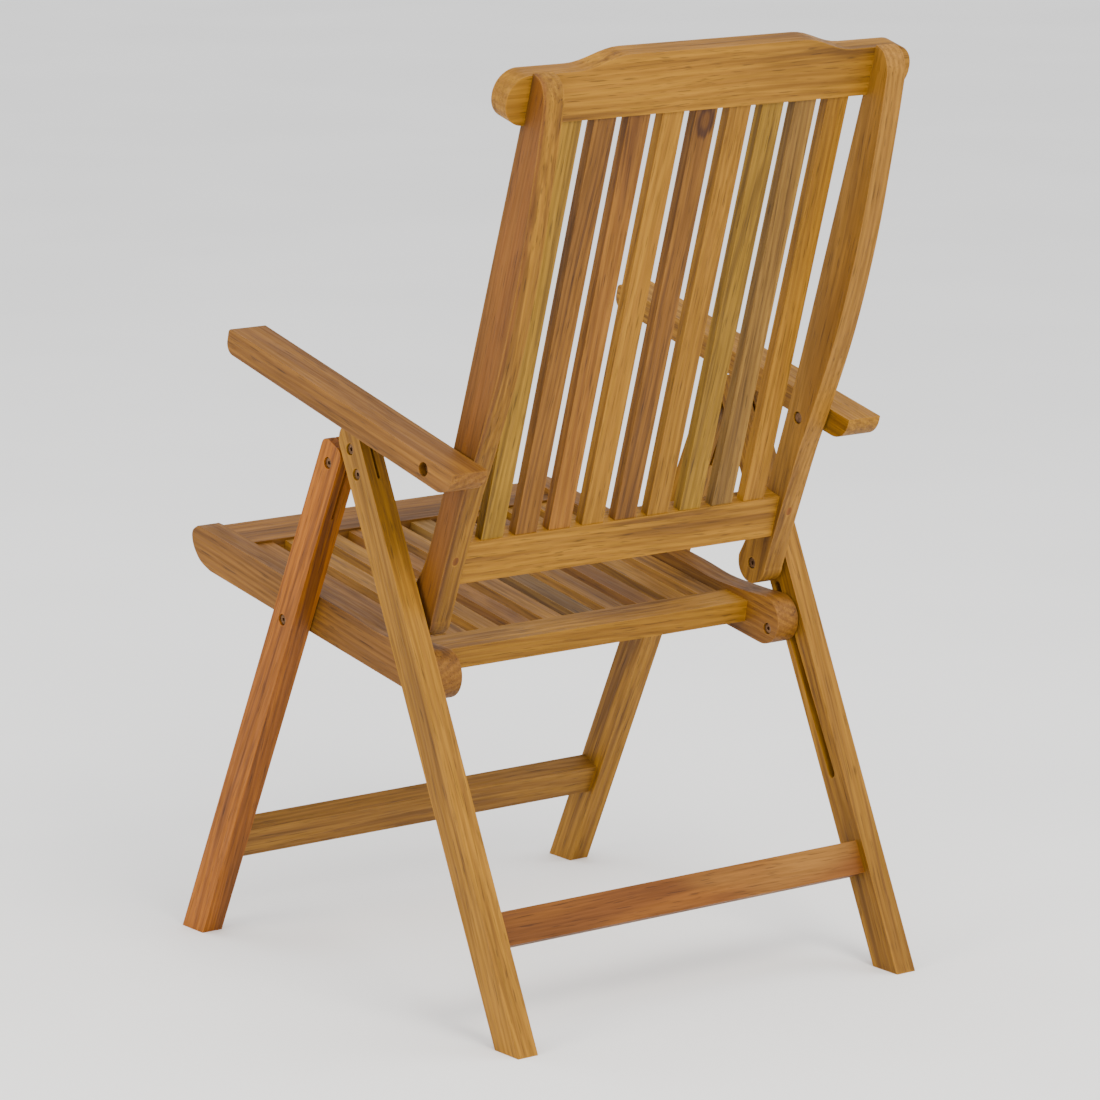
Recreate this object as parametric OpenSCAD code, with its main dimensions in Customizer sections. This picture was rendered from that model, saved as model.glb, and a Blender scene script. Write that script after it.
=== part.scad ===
// Folding deck chair: a slatted garden armchair whose legs, seat, back and arms fold flat, with a back that
// reclines. The chair faces -Y, +Z is up, and the origin is on the floor at the middle of its box.
// Side outlines are drawn in the Y-Z plane and given their thickness along X.

/* [Legs] */
// Width over the outer faces of the legs
frame_w = 570; // [556:2:584]
// Thickness of the legs, across the chair
leg_t = 27; // [26:0.5:28]
// Depth of the legs, seen from the side
leg_d = 38; // [36:0.5:38]
// Height of the fold pivot above the floor
hinge_z = 598; // [590:1:606]
// Lean of the rear legs from upright, in degrees
rear_lean = 25; // [24.5:0.1:25.5]
// Lean of the front legs from upright, in degrees
front_lean = 24.5; // [24:0.1:25]
// Height of both stretchers
stretcher_h = 38; // [30:1:42]
// Thickness of both stretchers
stretcher_t = 26; // [22:1:28]

/* [Seat] */
// Thickness of the seat's side rails
seat_rail_t = 30; // [28:0.5:31]
// Slope of the seat, down towards the back, in degrees
seat_slope = 9.6; // [9:0.1:10]
// Number of seat slats
seat_slats = 10; // [10:1:10]
// Width of a seat slat
seat_slat_w = 27.5; // [22:0.5:32]
// Distance between the middles of two seat slats
seat_pitch = 45.2; // [43:0.1:45.8]

/* [Back] */
// Thickness of the back's side stiles
stile_t = 27; // [25:0.5:28]
// Lean of the back slats from upright, in degrees
slat_lean = 15.8; // [15.4:0.1:16.2]
// Number of back slats
back_slats = 9; // [9:1:9]
// Width of a back slat
back_slat_w = 29.5; // [26:0.5:34]
// Thickness of a back slat
back_slat_t = 12; // [10:0.5:13]
// Distance between the middles of two back slats
back_pitch = 46.5; // [44:0.1:47]
// Length of the top rail, over its rounded ends
top_rail_w = 560; // [550:2:570]
// Rise of the top rail's crown above its ends
crown = 15; // [8:1:17]

/* [Arms] */
// Width of an armrest
arm_w = 46.5; // [44:0.5:48]
// Thickness of an armrest
arm_t = 28.5; // [26:0.5:29]
// Slope of the armrests, down towards the back, in degrees
arm_slope = 13.5; // [13.3:0.1:13.7]

/* [Fittings] */
// Radius of the pivot bolts
pivot_r = 3.5; // [3:0.25:4]
// Radius of a bolt's head
head_r = 5.5; // [5:0.25:6]
// Thickness of the steel hinge plates
plate_t = 3; // [2.5:0.25:3]

/* [Hidden] */
$fn = 96;
// Running gap between a turning bolt and its hole
run = 0.06;
// Side play between parts that turn on each other
play = 0.4;
// Joints of the side view, as [y, z]
hinge = [-21, hinge_z];
head_n = 49.5;
// The front leg's top stands this far above the fold pivot, with its corners rounded
top_up = 25;
top_r = 10;
head_up = 11;
nose_up = 30.5;
function on_rear(down, out) = hinge + down * [sin(rear_lean), -cos(rear_lean)] + out * [cos(rear_lean), sin(rear_lean)];
function on_front(down, out) = hinge + down * [-sin(front_lean), -cos(front_lean)] + out * [cos(front_lean), -sin(front_lean)];
seat_pivot = on_front(213, 0);
slide_top = [270, 42];
slide_end = [449, 48];
groove_rise = 48;
seat_pin = on_rear(slide_top[0], slide_top[1]);
back_pivot = [103.5, 443.5];
arm_pivot = [180, 625];
plate_holes = [[47.5, 2], [47.5, -27]];
// Planes across the chair
leg_out = frame_w / 2;
leg_in = leg_out - leg_t;
kerf_x = leg_in + leg_t / 2;
kerf_w = plate_t + 0.8;
seat_out = leg_in - 2;
seat_in = seat_out - seat_rail_t;
stile_out = leg_in - 7;
stile_in = stile_out - stile_t;
arm_in = leg_in - 2.5;
arm_out = arm_in + arm_w;
// Bolt heads sit in round recesses
recess_r = head_r + 1.2;
recess_d = 6;
head_h = 4;
nut_h = 4;
deep_recess = 12;
// Mortises and tenons of the slats and stretchers
tenon = 12;
fit = 0.05;

teak = "burlywood";
teak_gold = "goldenrod";
teak_red = "sienna";
steel = "silver";

// ---- helpers ----

// Gives a side outline its thickness from x0 to x1
module plank(x0, x1) {
    translate([x0, 0, 0])
        rotate([90, 0, 90])
            linear_extrude(x1 - x0)
                children();
}

// A rod along X from x0 to x1 through the side point p
module rod(p, r, x0, x1) {
    translate([x0, p[0], p[1]])
        rotate([0, 90, 0])
            cylinder(r = r, h = x1 - x0);
}

module both_sides() {
    children();
    mirror([1, 0, 0])
        children();
}

// Rectangle with round corners, its low corner at the origin
module round_rect(w, h, r) {
    translate([r, 0])
        square([w - 2 * r, h]);
    translate([0, r])
        square([w, h - 2 * r]);
    for (x = [r, w - r])
        for (y = [r, h - r])
            translate([x, y])
                circle(r);
}

// Slot with round ends from p to q
module slot(p, q, r) {
    turn = atan2(q[1] - p[1], q[0] - p[0]);
    polygon(concat(arc(p, r, turn + 90, turn + 270), arc(q, r, turn - 90, turn + 90)));
}

// Side-view frames whose Y axis runs up a leg from the fold pivot
module rear_frame() {
    translate(hinge)
        rotate(rear_lean)
            children();
}

module front_frame() {
    translate(hinge)
        rotate(-front_lean)
            children();
}

module below_floor() {
    translate([-600, -300])
        square([1200, 300]);
}

// Points of a smooth curve through the points p, as a cardinal spline with a few steps to each span
function at(p, i) = p[max(0, min(len(p) - 1, i))];
function spline(p, steps = 5) = [
    for (i = [0:len(p) - 2])
        for (k = [0:steps - (i == len(p) - 2 ? 0 : 1)])
            let (t = k / steps, a = at(p, i - 1), b = at(p, i), c = at(p, i + 1), d = at(p, i + 2))
                0.5 * (2 * b + (c - a) * t + (2 * a - 5 * b + 4 * c - d) * t * t
                    + (3 * b - a - 3 * c + d) * t * t * t)];
// Points on a circle of radius r about c, from angle a0 to a1
function arc(c, r, a0, a1, steps = 20) = [
    for (k = [0:steps])
        let (a = a0 + (a1 - a0) * k / steps)
            c + r * [cos(a), sin(a)]];
function flipped(p) = [for (i = [len(p) - 1:-1:0]) p[i]];

// A bolt along X: head from x to x + way * head_h with a hexagon socket, and a shank to x_end
module bolt(p, r, x, x_end) {
    way = x_end > x ? -1 : 1;
    face = x + way * head_h;
    difference() {
        rod(p, head_r, min(x, face), max(x, face));
        translate([face, p[0], p[1]])
            rotate([0, 90, 0])
                cylinder(r = 2.6, h = 5, center = true, $fn = 6);
    }
    rod(p, r, min(x, x_end), max(x, x_end));
}

module ring(p, r_out, r_in, x0, x1) {
    difference() {
        rod(p, r_out, x0, x1);
        rod(p, r_in, x0 - 1, x1 + 1);
    }
}

// ---- rear legs ----

module groove_outline() {
    rear_frame()
        slot([slide_top[1] - 1, groove_rise - slide_top[0]], [slide_end[1], -slide_end[0]], 5.2);
}

module rear_leg() {
    color(teak_gold)
        difference() {
            plank(leg_in, leg_out)
                difference() {
                    rear_frame()
                        polygon(concat([[head_n - leg_d / 2, -750], [head_n + leg_d / 2, -750]],
                            arc([head_n, head_up], leg_d / 2, 0, 180)));
                    below_floor();
                }
            plank(leg_in - 1, leg_in + 10)
                groove_outline();
            plank(kerf_x - kerf_w / 2, kerf_x + kerf_w / 2)
                rear_frame()
                    translate([0, -39])
                        square([100, 100]);
            for (h = plate_holes) {
                p = on_rear(-h[1], h[0]);
                rod(p, 3, leg_in - 1, leg_out + 1);
                rod(p, recess_r, leg_out - recess_d, leg_out + 1);
            }
            rod(back_pivot, 6, leg_in - 1, leg_in + 20);
            plank(leg_in - 1, leg_in + tenon)
                rear_stretcher_end();
        }
}

module left_rear_leg() {
    rear_leg();
}

module right_rear_leg() {
    mirror([1, 0, 0])
        rear_leg();
}

module rear_stretcher_outline() {
    rear_frame()
        translate([head_n - leg_d / 2 + 3, -569])
            square([stretcher_t, stretcher_h]);
}

// Tenon of the rear stretcher, and with a gap, its mortise
module rear_stretcher_end() {
    rear_frame()
        translate([head_n - leg_d / 2 + 10, -563])
            square([stretcher_t - 14, stretcher_h - 12]);
}

module rear_stretcher() {
    color(teak_red) {
        plank(-leg_in, leg_in)
            rear_stretcher_outline();
        both_sides()
            plank(leg_in - 1, leg_in + tenon)
                rear_stretcher_end();
    }
}

// ---- hinge plates in the legs' kerfs ----

module hinge_plate() {
    color(steel)
        plank(kerf_x - plate_t / 2, kerf_x + plate_t / 2)
            difference() {
                rear_frame() {
                    circle(13);
                    translate([0, -13])
                        square([40, 26]);
                    translate([36, -37])
                        round_rect(24, 52, 6);
                    slot([head_n, 0], [head_n, head_up + nose_up], 4);
                }
                rear_frame()
                    circle(3 + run);
                for (h = plate_holes)
                    translate(on_rear(-h[1], h[0]))
                        circle(3);
            }
}

module left_hinge_plate() {
    hinge_plate();
}

module right_hinge_plate() {
    mirror([1, 0, 0])
        hinge_plate();
}

module plate_bolts() {
    color(steel)
        both_sides()
            for (h = plate_holes)
                bolt(on_rear(-h[1], h[0]), 3, leg_out - recess_d, leg_in + 1);
}

// Threaded sleeves in the rear legs that take the back's pivot bolts
module pivot_inserts() {
    color("darkgoldenrod")
        both_sides()
            ring(back_pivot, 6, pivot_r + run, leg_in + 2, leg_in + 20);
}

// ---- front legs ----

module front_leg() {
    color(teak_gold)
        difference() {
            plank(leg_in, leg_out)
                difference() {
                    front_frame()
                        polygon(concat([[-leg_d / 2, -720], [leg_d / 2, -720]],
                            arc([leg_d / 2 - top_r, top_up - top_r], top_r, 0, 90, 8),
                            arc([top_r - leg_d / 2, top_up - top_r], top_r, 90, 180, 8)));
                    below_floor();
                }
            plank(kerf_x - kerf_w / 2, kerf_x + kerf_w / 2)
                front_frame()
                    translate([-50, -65])
                        square([100, 100]);
            rod(hinge, 3, leg_in - 1, leg_out + 1);
            rod(hinge, recess_r, leg_out - recess_d, leg_out + 1);
            rod(hinge, recess_r, leg_in - 1, leg_in + nut_h + 1);
            rod(seat_pivot, pivot_r, leg_in - 1, leg_out + 1);
            rod(seat_pivot, recess_r, leg_out - recess_d, leg_out + 1);
            plank(leg_in - 1, leg_in + tenon)
                front_stretcher_end();
        }
}

module left_front_leg() {
    front_leg();
}

module right_front_leg() {
    mirror([1, 0, 0])
        front_leg();
}

module front_stretcher_outline() {
    front_frame()
        translate([leg_d / 2 - 8 - stretcher_t, -548])
            square([stretcher_t, stretcher_h]);
}

module front_stretcher_end() {
    front_frame()
        translate([leg_d / 2 - 1 - stretcher_t, -542])
            square([stretcher_t - 14, stretcher_h - 12]);
}

module front_stretcher() {
    color(teak) {
        plank(-leg_in, leg_in)
            front_stretcher_outline();
        both_sides()
            plank(leg_in - 1, leg_in + tenon)
                front_stretcher_end();
    }
}

module leg_pivot_bolts() {
    color(steel)
        both_sides()
            bolt(hinge, 3, leg_out - recess_d, leg_in + 1);
}

module leg_pivot_nuts() {
    color(steel)
        both_sides()
            ring(hinge, head_r, 3, leg_in + 1, leg_in + 1 + nut_h);
}

module seat_pivot_bolts() {
    color(steel)
        both_sides()
            bolt(seat_pivot, pivot_r, leg_out - recess_d, seat_in + 2);
}

module seat_pivot_nuts() {
    color(steel)
        both_sides()
            ring(seat_pivot, head_r, pivot_r, seat_in + 1.5, seat_in + 1.5 + nut_h);
}

module seat_washers() {
    color(steel)
        both_sides()
            ring(seat_pivot, 9, pivot_r, seat_out + play, leg_in);
}

// ---- seat ----

seat_front_y = -333.4;
seat_end = [122.5, 380];
seat_end_r = 28;
rail_foot = 12.3;
// Height of the side rail's lower edge at y
function rail_low(y) = seat_pivot[1] - rail_foot - (y - seat_pivot[0]) * tan(seat_slope);
rail_h = 46;
function rail_high(y) = rail_low(y) + rail_h;
// The rail's top runs straight, then levels out towards its round rear end
rail_top = concat([[-310, rail_high(-310)]],
    spline([[-120, rail_high(-120)], [-20, rail_high(-20)], [30, 412.6], [80, 409], [122.5, 408]]));
rail_front = spline([[-296, rail_low(-296)], [-316, 432], [-329, 446], [seat_front_y, 459], [-331, 467],
    [-322, rail_high(-322) - 1]], 4);

module seat_rail_outline() {
    polygon(concat(rail_front, rail_top, arc(seat_end, seat_end_r, 82, -90 - seat_slope)));
}

front_rail_y = -326;
front_rail_w = 62;
rear_rail_y = 56;
rear_rail_w = 40;
board_t = 25;
board_drop = 6;
slat_drop = 3;
board_inset = 7;
seat_slat_t = 14;
rear_rail_s = (rear_rail_y - front_rail_y) / cos(seat_slope);

// Side-view frame along the seat, its origin at the front board's upper front edge
module seat_frame() {
    translate([front_rail_y, rail_high(front_rail_y) - board_drop])
        rotate(-seat_slope)
            children();
}

// Side outline of a flat cross board that starts s along the seat, less an inset all round
module board_outline(s, wide, inset = 0) {
    seat_frame()
        translate([s + inset, inset - board_t])
            square([wide - 2 * inset, board_t - 2 * inset]);
}

module seat_rail() {
    color(teak)
        difference() {
            plank(seat_in, seat_out)
                seat_rail_outline();
            rod(seat_pivot, pivot_r + run, seat_in - 1, seat_out + 1);
            rod(seat_pivot, 9, seat_in - 1, seat_in + recess_d);
            rod(seat_pin, pivot_r, seat_in - 1, seat_out + 1);
            rod(seat_pin, recess_r, seat_in - 1, seat_in + recess_d);
            plank(seat_in - 1, seat_in + tenon) {
                board_outline(0, front_rail_w, board_inset);
                board_outline(rear_rail_s, rear_rail_w, board_inset);
            }
        }
}

module left_seat_rail() {
    seat_rail();
}

module right_seat_rail() {
    mirror([1, 0, 0])
        seat_rail();
}

function seat_slat_x(i) = (i - (seat_slats + 1) / 2) * seat_pitch;

// A seat slat's side outline, longer at both ends by more and thinner all round by inset
module slat_outline(more = 0, inset = 0) {
    seat_frame()
        translate([front_rail_w - more, inset - slat_drop - seat_slat_t])
            square([rear_rail_s - front_rail_w + 2 * more, seat_slat_t - 2 * inset]);
}

// Tenons of a seat slat, and with a gap, their mortises
module seat_slat_tenons(x, gap = 0) {
    w = seat_slat_w - 8;
    plank(x - w / 2 - gap, x + w / 2 + gap)
        slat_outline(tenon + gap, 4 - gap);
}

module seat_board(s, wide) {
    difference() {
        union() {
            plank(-seat_in, seat_in)
                board_outline(s, wide);
            both_sides()
                plank(seat_in - 1, seat_in + tenon)
                    board_outline(s, wide, board_inset);
        }
        for (i = [1:seat_slats])
            seat_slat_tenons(seat_slat_x(i), fit);
    }
}

module seat_front_rail() {
    color(teak)
        seat_board(0, front_rail_w);
}

module seat_rear_rail() {
    color(teak_gold)
        seat_board(rear_rail_s, rear_rail_w);
}

module seat_slat(i) {
    x = seat_slat_x(i);
    color(teak) {
        plank(x - seat_slat_w / 2, x + seat_slat_w / 2)
            slat_outline();
        seat_slat_tenons(x);
    }
}

module seat_slide_bolts() {
    color(steel)
        both_sides()
            bolt(seat_pin, pivot_r, seat_in + recess_d, leg_in + 8);
}

// ---- back ----

// The stile's front edge, from its foot to its top
stile_front = spline([[80.5, 450], [96, 476], [122, 520], [168, 646], [223, 818], [281, 1004], [295, 1052]]);
// The stile's rear edge, from its foot to its top
stile_rear = spline([[126.5, 440], [150, 504], [182, 585], [205, 636], [245, 731], [279, 839], [305, 952],
    [317, 1012], [320, 1034], [314, 1052], [300, 1060]]);
stile_foot_r = 23.5;
// The cross rails of the back, each by its rear lower edge, its lean, height and thickness
top_edge = [286, 1003];
top_lean = 15;
top_h = 56;
top_t = 26;
low_edge = [137.6, 481];
low_lean = 15.8;
low_h = 50;
low_t = 25;

module top_rail_frame() {
    translate(top_edge)
        rotate(-top_lean)
            children();
}

module low_rail_frame() {
    translate(low_edge)
        rotate(-low_lean)
            children();
}

// The whole outline of a stile, with its round foot about the pivot
module stile_profile() {
    polygon(concat(arc(back_pivot, stile_foot_r, -16, -189), stile_front, flipped(stile_rear)));
}

module stile_outline() {
    difference() {
        stile_profile();
        top_rail_frame()
            translate([-top_t, -fit])
                square([top_t, top_h + 40]);
    }
}

module low_rail_end() {
    low_rail_frame()
        translate([6 - low_t, 7])
            square([low_t - 12, low_h - 14]);
}

module back_stile() {
    color(teak)
        difference() {
            plank(stile_in, stile_out)
                stile_outline();
            rod(back_pivot, pivot_r + run, stile_in - 1, stile_out + 1);
            rod(back_pivot, recess_r, stile_in - 1, stile_in + recess_d);
            rod(arm_pivot, pivot_r + run, stile_in - 1, stile_out + 1);
            rod(arm_pivot, recess_r + 0.5, stile_in - 1, stile_in + recess_d);
            plank(stile_in - 1, stile_in + tenon)
                low_rail_end();
            plugs();
        }
}

module left_back_stile() {
    back_stile();
}

module right_back_stile() {
    mirror([1, 0, 0])
        back_stile();
}

// Wooden plugs over the screws that hold the top rail and the bottom rail to the stiles
plug_r = 4;
plug_points = [[315.5, 1028, -80], [156, 512, -70]];
module plugs() {
    for (p = plug_points)
        translate([stile_in + stile_t / 2, p[0], p[1]])
            rotate([p[2], 0, 0])
                translate([0, 0, -9])
                    cylinder(r = plug_r, h = 11);
}

module back_plugs() {
    color(teak_red)
        both_sides()
            intersection() {
                plugs();
                plank(stile_in, stile_out)
                    stile_profile();
            }
}

// Front view of the top rail: round ends and a crown between two ogees
crown_in = 120;
crown_out = 190;
end_r = 27;
end_x = top_rail_w / 2 - end_r;
ogee = [for (k = [0:8])
    let (t = k / 8) [crown_in + (crown_out - crown_in) * t, top_h + crown / 2 * (1 + cos(180 * t))]];

module top_rail_front() {
    polygon(concat(arc([end_x, end_r], end_r, -90, 0), arc([end_x, top_h - end_r], end_r, 0, 90), flipped(ogee),
        [for (p = ogee) [-p[0], p[1]]], arc([-end_x, top_h - end_r], end_r, 90, 180),
        arc([-end_x, end_r], end_r, 180, 270)));
}

function back_slat_x(i) = (i - (back_slats + 1) / 2) * back_pitch;
slat_base = low_edge + low_h * [sin(low_lean), cos(low_lean)] - 1.5 * [cos(low_lean), -sin(low_lean)];
slat_len = (top_edge[1] - slat_base[1]) / cos(slat_lean);

// Side strip of a back slat, from s0 to s1 along it
module slat_strip(s0, s1, inset = 0) {
    translate(slat_base)
        rotate(-slat_lean)
            translate([-back_slat_t + inset, s0])
                square([back_slat_t - 2 * inset, s1 - s0]);
}

module slat_tenons(x, gap = 0) {
    w = back_slat_w - 8;
    plank(x - w / 2 - gap, x + w / 2 + gap) {
        slat_strip(-tenon - gap, 20, 3 - gap);
        slat_strip(slat_len - 20, slat_len + tenon + gap, 3 - gap);
    }
}

module back_top_rail() {
    color(teak_gold)
        difference() {
            translate([0, top_edge[0], top_edge[1]])
                rotate([90 - top_lean, 0, 0])
                    linear_extrude(top_t)
                        top_rail_front();
            for (i = [1:back_slats])
                slat_tenons(back_slat_x(i), fit);
        }
}

module back_bottom_rail() {
    color(teak_gold)
        difference() {
            union() {
                plank(-stile_in, stile_in)
                    low_rail_frame()
                        translate([-low_t, 0])
                            square([low_t, low_h]);
                both_sides()
                    plank(stile_in - 1, stile_in + tenon)
                        low_rail_end();
            }
            for (i = [1:back_slats])
                slat_tenons(back_slat_x(i), fit);
        }
}

module back_slat(i) {
    x = back_slat_x(i);
    color(i % 3 == 0 ? teak_red : teak) {
        plank(x - back_slat_w / 2, x + back_slat_w / 2)
            difference() {
                slat_strip(-2, slat_len + 10);
                top_rail_frame()
                    translate([-60, 0])
                        square([120, 60]);
                low_rail_frame()
                    translate([-60, low_h - 60])
                        square([120, 60]);
            }
        slat_tenons(x);
    }
}

module back_pivot_bolts() {
    color(steel)
        both_sides()
            bolt(back_pivot, pivot_r, stile_in + recess_d - play, leg_in + 18);
}

module back_spacers() {
    color(steel)
        both_sides()
            ring(back_pivot, 9, pivot_r, stile_out + play, leg_in - play);
}

// ---- arms ----

arm_front = 382;
arm_rear = 51;
arm_nose_r = 13;
arm_heel_r = 24;
// Notches of the arm's underside, by their distance ahead of the arm's pivot
notches = [176, 195, 214, 233, 252];

module arm_frame() {
    translate(arm_pivot)
        rotate(-arm_slope)
            children();
}

module arm_outline() {
    arm_frame()
        difference() {
            translate([-arm_front, -arm_t / 2])
                square([arm_front + arm_rear, arm_t]);
            translate([-arm_front, -arm_t / 2])
                difference() {
                    translate([-1, -1])
                        square(arm_nose_r + 1);
                    translate([arm_nose_r, arm_nose_r])
                        circle(arm_nose_r);
                }
            translate([-arm_front, arm_t / 2 - 6])
                difference() {
                    translate([-1, 0])
                        square([7, 7]);
                    translate([6, 0])
                        circle(6);
                }
            translate([arm_rear, -arm_t / 2])
                difference() {
                    translate([-arm_heel_r, -1])
                        square([arm_heel_r + 1, arm_heel_r + 1]);
                    translate([-arm_heel_r, arm_heel_r])
                        circle(arm_heel_r);
                }
        }
}

module armrest() {
    channel_w = plate_t + 2;
    color(teak)
        difference() {
            plank(arm_in, arm_out)
                arm_outline();
            rod(arm_pivot, pivot_r + run, arm_in - 1, arm_out + 1);
            rod(arm_pivot, 8, arm_out - deep_recess, arm_out + 1);
            plank(kerf_x - channel_w / 2, kerf_x + channel_w / 2)
                arm_frame()
                    translate([-notches[4] - 12, -arm_t / 2 - 1])
                        square([notches[4] - notches[0] + 30, 10]);
            plank(kerf_x - channel_w / 2, kerf_x + channel_w / 2)
                arm_frame()
                    for (n = notches)
                        translate([-n, -arm_t / 2 + 8])
                            circle(4.5);
        }
}

module left_armrest() {
    armrest();
}

module right_armrest() {
    mirror([1, 0, 0])
        armrest();
}

module arm_bolt() {
    color(steel)
        bolt(arm_pivot, pivot_r, arm_out - deep_recess + play, stile_in + 1.5);
}

module left_arm_bolt() {
    arm_bolt();
}

module right_arm_bolt() {
    mirror([1, 0, 0])
        arm_bolt();
}

module arm_nut() {
    color(steel)
        ring(arm_pivot, head_r, pivot_r, stile_in + 1.5, stile_in + 1.5 + nut_h);
}

module left_arm_nut() {
    arm_nut();
}

module right_arm_nut() {
    mirror([1, 0, 0])
        arm_nut();
}

module arm_washers() {
    color(steel)
        both_sides()
            ring(arm_pivot, 9, pivot_r + run, stile_out, arm_in - play);
}

left_rear_leg();
right_rear_leg();
rear_stretcher();
left_hinge_plate();
right_hinge_plate();
plate_bolts();
pivot_inserts();
left_front_leg();
right_front_leg();
front_stretcher();
leg_pivot_bolts();
leg_pivot_nuts();
seat_pivot_bolts();
seat_pivot_nuts();
seat_washers();
left_seat_rail();
right_seat_rail();
seat_front_rail();
seat_rear_rail();
seat_slide_bolts();
for (i = [1:seat_slats])
    seat_slat(i);
left_back_stile();
right_back_stile();
back_top_rail();
back_bottom_rail();
back_plugs();
for (i = [1:back_slats])
    back_slat(i);
back_pivot_bolts();
back_spacers();
left_armrest();
right_armrest();
left_arm_bolt();
right_arm_bolt();
left_arm_nut();
right_arm_nut();
arm_washers();
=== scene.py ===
import bpy
import math
import random
from mathutils import Matrix, Vector

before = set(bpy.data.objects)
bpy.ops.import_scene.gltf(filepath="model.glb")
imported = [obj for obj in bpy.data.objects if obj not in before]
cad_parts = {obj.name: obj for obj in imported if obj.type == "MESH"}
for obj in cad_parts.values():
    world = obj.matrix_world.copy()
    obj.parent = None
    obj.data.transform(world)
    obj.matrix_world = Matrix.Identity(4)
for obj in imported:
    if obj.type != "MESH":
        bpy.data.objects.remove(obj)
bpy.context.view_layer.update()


# ---- small helpers ----

def lin(r, g, b):
    """A colour given as 0-255 screen values, in the linear values that Blender wants."""
    def one(c):
        c /= 255.0
        return c / 12.92 if c <= 0.04045 else ((c + 0.055) / 1.055) ** 2.4
    return (one(r), one(g), one(b), 1.0)


def scaled(c, k):
    return (min(1.0, c[0] * k), min(1.0, c[1] * k), min(1.0, c[2] * k), 1.0)


class Tree:
    """A few short calls for making a material's nodes."""

    def __init__(self, name):
        self.mat = bpy.data.materials.new(name)
        self.mat.use_nodes = True
        self.t = self.mat.node_tree
        self.t.nodes.clear()
        out = self.t.nodes.new("ShaderNodeOutputMaterial")
        self.bsdf = self.t.nodes.new("ShaderNodeBsdfPrincipled")
        self.join(self.bsdf.outputs[0], out.inputs["Surface"])

    def join(self, a, b):
        self.t.links.new(a, b)

    def put(self, socket, value):
        if isinstance(value, bpy.types.NodeSocket):
            self.join(value, socket)
        else:
            socket.default_value = value

    def coords(self):
        return self.t.nodes.new("ShaderNodeTexCoord").outputs["Object"]

    def mapping(self, vec, loc=(0, 0, 0), rot=(0, 0, 0), scale=(1, 1, 1)):
        n = self.t.nodes.new("ShaderNodeMapping")
        self.join(vec, n.inputs["Vector"])
        n.inputs["Location"].default_value = loc
        n.inputs["Rotation"].default_value = rot
        n.inputs["Scale"].default_value = scale
        return n.outputs[0]

    def noise(self, vec, scale=1.0, detail=2.0, rough=0.5, color=False):
        n = self.t.nodes.new("ShaderNodeTexNoise")
        self.join(vec, n.inputs["Vector"])
        n.inputs["Scale"].default_value = scale
        n.inputs["Detail"].default_value = detail
        n.inputs["Roughness"].default_value = rough
        return n.outputs["Color" if color else 0]

    def rings(self, vec, scale, distortion, detail, detail_scale):
        n = self.t.nodes.new("ShaderNodeTexWave")
        n.wave_type = "RINGS"
        n.rings_direction = "Z"
        n.wave_profile = "SIN"
        self.join(vec, n.inputs["Vector"])
        n.inputs["Scale"].default_value = scale
        n.inputs["Distortion"].default_value = distortion
        n.inputs["Detail"].default_value = detail
        n.inputs["Detail Scale"].default_value = detail_scale
        return n.outputs["Fac"]

    def ramp(self, fac, lo, hi, out_lo=0.0, out_hi=1.0):
        n = self.t.nodes.new("ShaderNodeMapRange")
        n.clamp = True
        n.interpolation_type = "SMOOTHSTEP"
        self.join(fac, n.inputs["Value"])
        n.inputs["From Min"].default_value = lo
        n.inputs["From Max"].default_value = hi
        n.inputs["To Min"].default_value = out_lo
        n.inputs["To Max"].default_value = out_hi
        return n.outputs["Result"]

    def math(self, op, a, b):
        n = self.t.nodes.new("ShaderNodeMath")
        n.operation = op
        self.put(n.inputs[0], a)
        self.put(n.inputs[1], b)
        return n.outputs[0]

    def vec(self, op, a, b, out=0):
        n = self.t.nodes.new("ShaderNodeVectorMath")
        n.operation = op
        self.put(n.inputs[0], a)
        self.put(n.inputs[1], b)
        return n.outputs[out]

    def mix(self, fac, a, b, blend="MIX"):
        n = self.t.nodes.new("ShaderNodeMix")
        n.data_type = "RGBA"
        n.blend_type = blend
        self.put(n.inputs[0], fac)
        self.put(n.inputs[6], a)
        self.put(n.inputs[7], b)
        return n.outputs[2]

    def bump(self, height, strength, distance):
        n = self.t.nodes.new("ShaderNodeBump")
        n.inputs["Strength"].default_value = strength
        n.inputs["Distance"].default_value = distance
        self.join(height, n.inputs["Height"])
        self.join(n.outputs[0], self.bsdf.inputs["Normal"])

    def edges(self, radius):
        """0 on flat faces, rising to 1 on sharp or eased edges."""
        bev = self.t.nodes.new("ShaderNodeBevel")
        bev.samples = 4
        bev.inputs["Radius"].default_value = radius
        geo = self.t.nodes.new("ShaderNodeNewGeometry")
        dot = self.vec("DOT_PRODUCT", bev.outputs[0], geo.outputs["Normal"], out="Value")
        return self.ramp(dot, 0.995, 0.80)


# ---- materials ----

def turn_to_grain(axis):
    """The rotation that lays a direction of grain along Z."""
    x, y, z = axis
    if abs(x) > 0.5:
        return (0.0, -math.pi / 2, 0.0)
    return (math.atan2(y, z), 0.0, 0.0)


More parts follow.
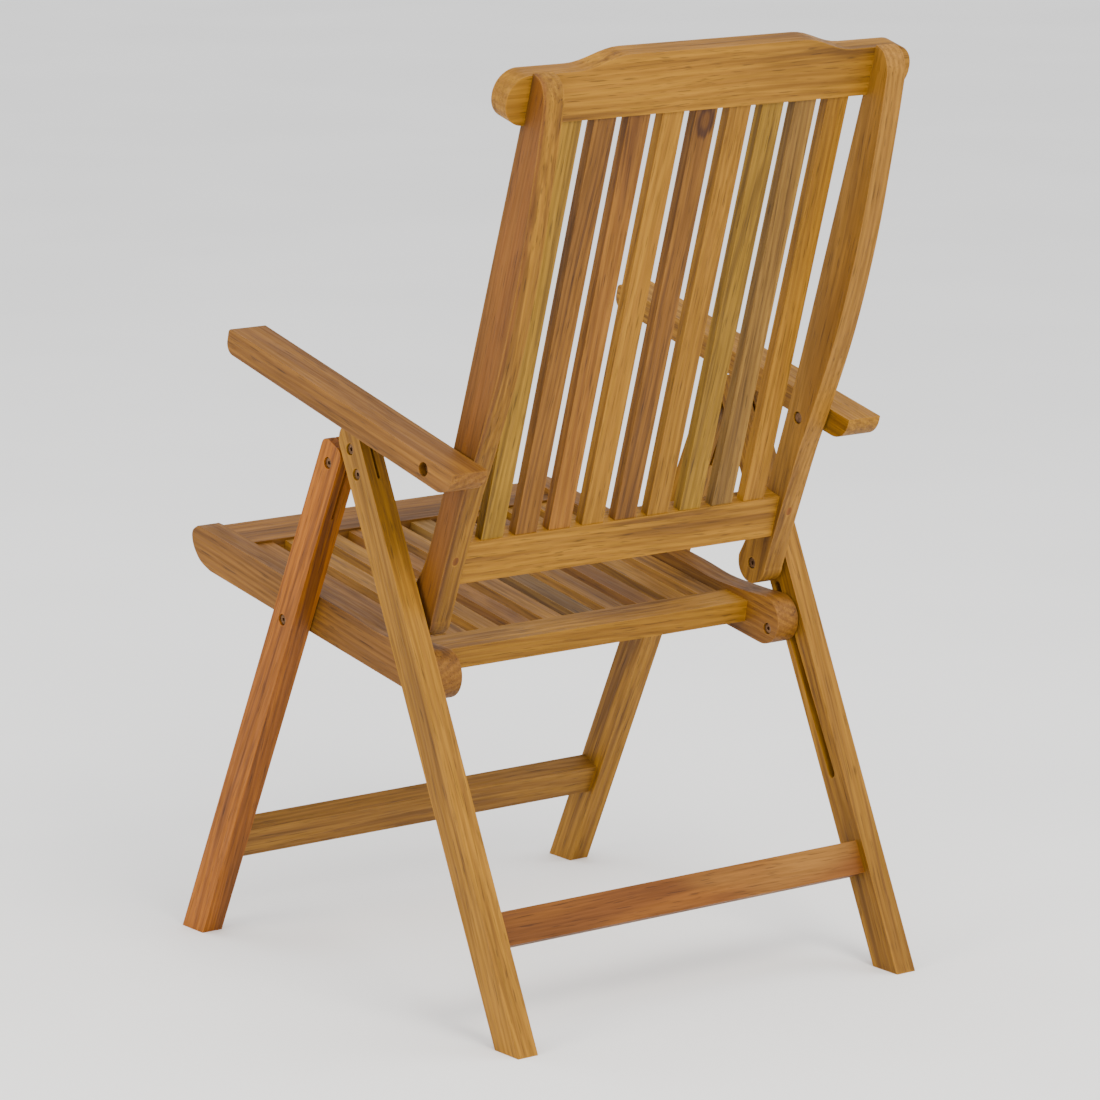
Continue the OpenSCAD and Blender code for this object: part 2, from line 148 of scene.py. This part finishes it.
def wood(name, axis, light, mid, dark, seed, figure=0.55, streaks=0.6, spacing=0.007, heart=0.06,
         tilt=1.5, band=(0.47, 0.66), fleck=None, side=None,
         knot=None):
    """Oiled teak. light, mid and dark are its three tones, heart the distance to the tree's middle,
    spacing the width of a growth ring, fleck an optional sapwood colour, and side an optional
    painted shade over one side face, as the x where it starts, the x where it is full, and the
    shade's colour. knot is an optional knot's place and radius."""
    rnd = random.Random(seed)
    m = Tree(name)
    turned = m.mapping(m.coords(), rot=turn_to_grain(axis))
    angle = rnd.uniform(0, 2 * math.pi)
    off = (heart * math.cos(angle), heart * math.sin(angle), rnd.uniform(-3, 3))
    lean = (math.radians(rnd.uniform(-tilt, tilt)), math.radians(rnd.uniform(-tilt, tilt)), 0.0)
    placed = m.mapping(turned, loc=off, rot=lean)
    slow = m.noise(m.mapping(placed, scale=(9, 9, 2.2)), detail=1.0, color=True)
    sway = m.vec("MULTIPLY", m.vec("SUBTRACT", slow, (0.5, 0.5, 0.5)), (0.022, 0.022, 0.022))
    wavy = m.vec("ADD", placed, sway)
    rings = m.rings(m.mapping(wavy, scale=(1, 1, 0.10)), 2 * math.pi / (20 * spacing), 2.2, 2.0, 1.4)
    wide = m.noise(m.mapping(wavy, scale=(26, 26, 1.1)), detail=3.0, rough=0.55)
    fine = m.noise(m.mapping(wavy, scale=(330, 330, 11)), detail=2.0, rough=0.6)
    thread = m.noise(m.mapping(wavy, scale=(120, 120, 3.5)), detail=2.0, rough=0.6)
    pores = m.noise(m.mapping(wavy, scale=(800, 800, 34)), detail=0.0)
    cloud = m.noise(m.mapping(placed, scale=(7, 7, 2.6)), detail=2.0, rough=0.5)

    base = m.mix(m.math("MULTIPLY", m.ramp(rings, 0.15, 0.95), figure), light, mid)
    lines = m.math("MULTIPLY", m.ramp(thread, 0.47, 0.62, 0.0, 0.8), m.ramp(wide, 0.40, 0.58))
    dusk = m.math("MULTIPLY", m.ramp(wide, band[0], band[1]), 0.55)
    base = m.mix(m.ramp(thread, 0.42, 0.66, 0.0, 0.45), base, mid)
    base = m.mix(m.math("MULTIPLY", m.math("MAXIMUM", lines, dusk), streaks), base, dark)
    if fleck:
        base = m.mix(m.math("MULTIPLY", m.ramp(cloud, 0.50, 0.66), 0.75), base, fleck)
    # side is painted shade: faces past the given x take a darker, streaky colour.
    if side:
        across = m.t.nodes.new("ShaderNodeSeparateXYZ")
        m.join(m.coords(), across.inputs[0])
        reach = m.math("ADD", across.outputs[0], m.math("MULTIPLY", m.math("SUBTRACT", wide, 0.5), 0.012))
        side_shade = m.mix(m.ramp(wide, 0.44, 0.62), side[2], scaled(side[2], 0.45))
        base = m.mix(m.math("MULTIPLY", m.ramp(reach, side[0], side[1]), 0.8), base, side_shade)
    if knot:
        apart = m.mapping(m.vec("SUBTRACT", m.coords(), knot[0]), scale=(1.0, 1.0, 0.55))
        far = m.math("DIVIDE", m.vec("LENGTH", apart, (0, 0, 0), out="Value"), knot[1])
        far = m.math("ADD", far, m.math("MULTIPLY", m.math("SUBTRACT", thread, 0.5), 1.2))
        base = m.mix(m.ramp(far, 1.25, 0.85), base, scaled(dark, 1.5))
        base = m.mix(m.ramp(far, 0.7, 0.3), base, scaled(mid, 0.9))
    tone = m.ramp(cloud, 0.30, 0.70, 0.84, 1.12)
    shade = m.math("MULTIPLY", tone, m.ramp(fine, 0.30, 0.70, 0.84, 1.08))
    shade = m.math("MULTIPLY", shade, m.ramp(pores, 0.22, 0.36, 0.55, 1.0))
    grey = m.t.nodes.new("ShaderNodeCombineColor")
    for channel in grey.inputs:
        m.join(shade, channel)
    base = m.mix(1.0, base, grey.outputs[0], "MULTIPLY")
    worn = m.math("MULTIPLY", m.edges(0.0035), m.ramp(thread, 0.30, 0.62, 0.15, 0.55))
    base = m.mix(worn, base, scaled(light, 1.22))
    m.join(base, m.bsdf.inputs["Base Color"])
    m.join(m.ramp(fine, 0.25, 0.75, 0.70, 0.54), m.bsdf.inputs["Roughness"])
    m.bsdf.inputs["Specular IOR Level"].default_value = 0.22
    height = m.math("ADD", m.math("MULTIPLY", fine, 0.55), m.math("MULTIPLY", rings, 0.18))
    height = m.math("ADD", height, m.ramp(pores, 0.22, 0.36, 0.0, 0.5))
    m.bump(height, 0.35, 0.0006)
    return m.mat


def metal(name, colour, rough, seed, wear=0.5):
    """Plated steel, dulled and slightly scratched."""
    rnd = random.Random(seed)
    m = Tree(name)
    spot = m.mapping(m.coords(), loc=(rnd.uniform(0, 9), rnd.uniform(0, 9), rnd.uniform(0, 9)))
    dull = m.noise(spot, scale=170.0, detail=4.0, rough=0.65)
    brush = m.noise(m.mapping(spot, scale=(60, 900, 900)), detail=2.0)
    base = m.mix(m.ramp(dull, 0.42, 0.68), colour, scaled(colour, 0.45))
    base = m.mix(m.math("MULTIPLY", m.edges(0.0008), wear), base, scaled(colour, 1.9))
    m.join(base, m.bsdf.inputs["Base Color"])
    m.bsdf.inputs["Metallic"].default_value = 0.92
    m.join(m.math("ADD", m.ramp(dull, 0.3, 0.7, rough - 0.08, rough + 0.14),
                  m.math("MULTIPLY", brush, 0.08)), m.bsdf.inputs["Roughness"])
    m.bump(m.math("ADD", dull, brush), 0.15, 0.0002)
    return m.mat


TAN = (lin(141, 97, 27), lin(115, 75, 18), lin(64, 35, 9))
GOLD = (lin(147, 101, 18), lin(121, 78, 11), lin(71, 41, 7))
OLIVE = (lin(144, 106, 21), lin(117, 83, 14), lin(71, 48, 9))
BROWN = (lin(126, 82, 21), lin(99, 60, 13), lin(55, 29, 8))
RED = (lin(120, 70, 12), lin(93, 49, 7), lin(46, 21, 4))
ORANGE = (lin(146, 84, 5), lin(121, 65, 4), lin(66, 31, 4))
STRIPED = (lin(136, 88, 22), lin(108, 64, 14), lin(48, 21, 5))
GREY = (lin(134, 98, 38), lin(108, 74, 26), lin(62, 39, 14))

# Grain directions at rest: each is a lean from upright or a slope down towards the back, in degrees
def leaning(deg):
    return (0, math.sin(math.radians(deg)), math.cos(math.radians(deg)))


def sloping(deg):
    return (0, math.cos(math.radians(deg)), -math.sin(math.radians(deg)))


REAR_LEG = sloping(65)
FRONT_LEG = (0, -math.sin(math.radians(24.5)), -math.cos(math.radians(24.5)))
SEAT = sloping(9.6)
STILE = leaning(17.3)
SLAT = leaning(15.8)
ARM = sloping(13.5)
ACROSS = (1, 0, 0)

# Each node's grain, its tones, its seed and any settings of its own
WOODS = {
    "left_rear_leg": (REAR_LEG, GOLD, 11, dict(streaks=0.75, spacing=0.006)),
    "right_rear_leg": (REAR_LEG, GOLD, 12, dict(streaks=0.7)),
    "rear_stretcher": (ACROSS, RED, 13, dict(streaks=0.7, fleck=lin(135, 92, 34))),
    "left_front_leg": (FRONT_LEG, ORANGE, 14, dict(streaks=0.75)),
    "right_front_leg": (FRONT_LEG, GOLD, 15, dict(streaks=0.75)),
    "front_stretcher": (ACROSS, TAN, 16, dict(streaks=0.7)),
    "left_seat_rail": (SEAT, BROWN, 17, dict(streaks=0.4)),
    "right_seat_rail": (SEAT, BROWN, 18, dict(streaks=0.7)),
    "seat_front_rail": (ACROSS, BROWN, 19, dict(streaks=0.75)),
    "seat_rear_rail": (ACROSS, GOLD, 20, dict(streaks=0.65, spacing=0.009)),
    # The left stile's outer side face, past x = 0.242 m, is painted darker: painted shade.
    "left_back_stile": (STILE, GOLD, 21, dict(streaks=0.7, side=(0.242, 0.249, lin(106, 59, 14)))),
    "right_back_stile": (STILE, TAN, 22, dict(streaks=0.75)),
    "back_top_rail": (ACROSS, GOLD, 23, dict(streaks=0.75, spacing=0.011, heart=0.03)),
    "back_bottom_rail": (ACROSS, GOLD, 24, dict(streaks=0.7, spacing=0.010, heart=0.04)),
    "back_plugs": (STILE, RED, 25, dict(streaks=0.6)),
    "left_armrest": (ARM, BROWN, 26, dict(streaks=0.35, spacing=0.009, heart=0.05)),
    "right_armrest": (ARM, GOLD, 27, dict(streaks=0.7)),
    "back_slat_9": (SLAT, OLIVE, 31, dict(streaks=0.7)),
    "back_slat_8": (SLAT, BROWN, 32, dict(streaks=0.7)),
    "back_slat_7": (SLAT, STRIPED, 33, dict(streaks=1.0, band=(0.42, 0.60))),
    "back_slat_6": (SLAT, GOLD, 34, dict(streaks=0.65)),
    "back_slat_5": (SLAT, BROWN, 35, dict(streaks=0.75, heart=0.02, knot=((0.0, 0.280, 0.990), 0.012))),
    "back_slat_4": (SLAT, GOLD, 36, dict(streaks=0.6)),
    "back_slat_3": (SLAT, OLIVE, 37, dict(streaks=0.65)),
    "back_slat_2": (SLAT, GREY, 38, dict(streaks=0.7)),
    "back_slat_1": (SLAT, GOLD, 39, dict(streaks=0.7)),
}
SEAT_SLAT_TONES = (TAN, GOLD, BROWN, TAN, GREY, TAN, BROWN, GOLD, TAN, BROWN)
for number, tones in enumerate(SEAT_SLAT_TONES, start=1):
    WOODS["seat_slat_%d" % number] = (SEAT, tones, 50 + number, dict(streaks=0.7))

# The steel's warm brown colour is a painted reflection of the nearby wood, over dulled steel.
STEEL_PAINTED_REFLECTION = metal("dulled_steel_painted_reflection", lin(126, 94, 66), 0.46, 3)
PLATE = metal("plated_steel", lin(150, 148, 144), 0.38, 4)
BRASS = metal("brass_insert", lin(170, 140, 80), 0.40, 5)


def ease(obj, width):
    """Takes the sharp edge off a CAD node with modifiers only."""
    flat = obj.modifiers.new("flat", "DECIMATE")
    flat.decimate_type = "DISSOLVE"
    flat.angle_limit = math.radians(0.5)
    bev = obj.modifiers.new("eased", "BEVEL")
    bev.width = width
    bev.segments = 2
    bev.limit_method = "ANGLE"
    bev.angle_limit = math.radians(38)
    bev.use_clamp_overlap = True
    nor = obj.modifiers.new("normals", "WEIGHTED_NORMAL")
    nor.keep_sharp = True


def give(obj, mat):
    obj.data.materials.clear()
    obj.data.materials.append(mat)


# How far the edges are eased, in metres, by a part of the node's name: the first that fits counts
SOFT = {"armrest": 0.004, "top_rail": 0.0035, "seat_rail": 0.0025,
        "leg": 0.0022, "stile": 0.0045, "slat": 0.0018}
PLAIN_EDGE = 0.0016
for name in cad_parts:
    obj = bpy.data.objects[name]
    if name in WOODS:
        grain, tones, seed, extra = WOODS[name]
        give(obj, wood("teak_" + name, grain, tones[0], tones[1], tones[2], seed, **extra))
        ease(obj, next((width for key, width in SOFT.items() if key in name), PLAIN_EDGE))
    elif "plate" in name and "bolt" not in name:
        give(obj, PLATE)
    elif "insert" in name:
        give(obj, BRASS)
    else:
        give(obj, STEEL_PAINTED_REFLECTION)

# ---- stage, light and camera ----

bpy.ops.mesh.primitive_circle_add(vertices=96, radius=30.0, fill_type="NGON", location=(0, 0, 0))
floor = bpy.context.object
floor.name = "floor"
f = Tree("pale_floor")
speck = f.ramp(f.noise(f.coords(), scale=1.5, detail=2.0), 0.3, 0.7)
f.join(f.mix(speck, (0.90, 0.90, 0.90, 1), (0.93, 0.93, 0.93, 1)), f.bsdf.inputs["Base Color"])
f.bsdf.inputs["Roughness"].default_value = 0.9
f.bsdf.inputs["Specular IOR Level"].default_value = 0.1
give(floor, f.mat)

world = bpy.context.scene.world or bpy.data.worlds.new("studio")
bpy.context.scene.world = world
world.use_nodes = True
bg = world.node_tree.nodes["Background"]
bg.inputs[0].default_value = (1.0, 1.0, 1.0, 1.0)
bg.inputs[1].default_value = 1.35


def area(name, place, aim, size, power, colour=(1, 1, 1)):
    data = bpy.data.lights.new(name, "AREA")
    data.shape = "DISK"
    data.size = size
    data.energy = power
    data.color = colour
    o = bpy.data.objects.new(name, data)
    o.location = place
    o.rotation_euler = (Vector(aim) - Vector(place)).to_track_quat("-Z", "Y").to_euler()
    bpy.context.collection.objects.link(o)


area("key", (0.4, 3.2, 3.4), (0, 0, 0.5), 2.0, 140, (1.0, 0.96, 0.88))
area("side", (3.4, 0.2, 1.7), (0, 0, 0.5), 2.0, 55, (1.0, 0.94, 0.84))
area("fill", (-2.8, 1.6, 2.2), (0, 0, 0.5), 2.6, 40)
area("front", (1.5, -3.2, 2.4), (0, 0, 0.6), 2.6, 30)

# The camera's heading, downward tilt and roll, its place, and its focal length in frame widths
yaw, pitch, roll = math.radians(142.18), math.radians(11.96), math.radians(0.51)
CAMERA_AT = (3.596, 4.6465, 1.713)
FOCAL_IN_WIDTHS = 4.792
SENSOR_MM = 36.0
look = Vector((-math.sin(yaw) * math.cos(pitch), math.cos(yaw) * math.cos(pitch), -math.sin(pitch)))
right = look.cross(Vector((0, 0, 1))).normalized()
up = right.cross(look)
cx = math.cos(roll) * right + math.sin(roll) * up
cy = -math.sin(roll) * right + math.cos(roll) * up
cam_data = bpy.data.cameras.new("camera")
cam_data.sensor_width = SENSOR_MM
cam_data.lens = SENSOR_MM * FOCAL_IN_WIDTHS
cam_data.clip_end = 100.0
cam = bpy.data.objects.new("camera", cam_data)
bpy.context.collection.objects.link(cam)
turn = Matrix((cx, cy, -look)).transposed().to_4x4()
cam.matrix_world = Matrix.Translation(Vector(CAMERA_AT)) @ turn
bpy.context.scene.camera = cam
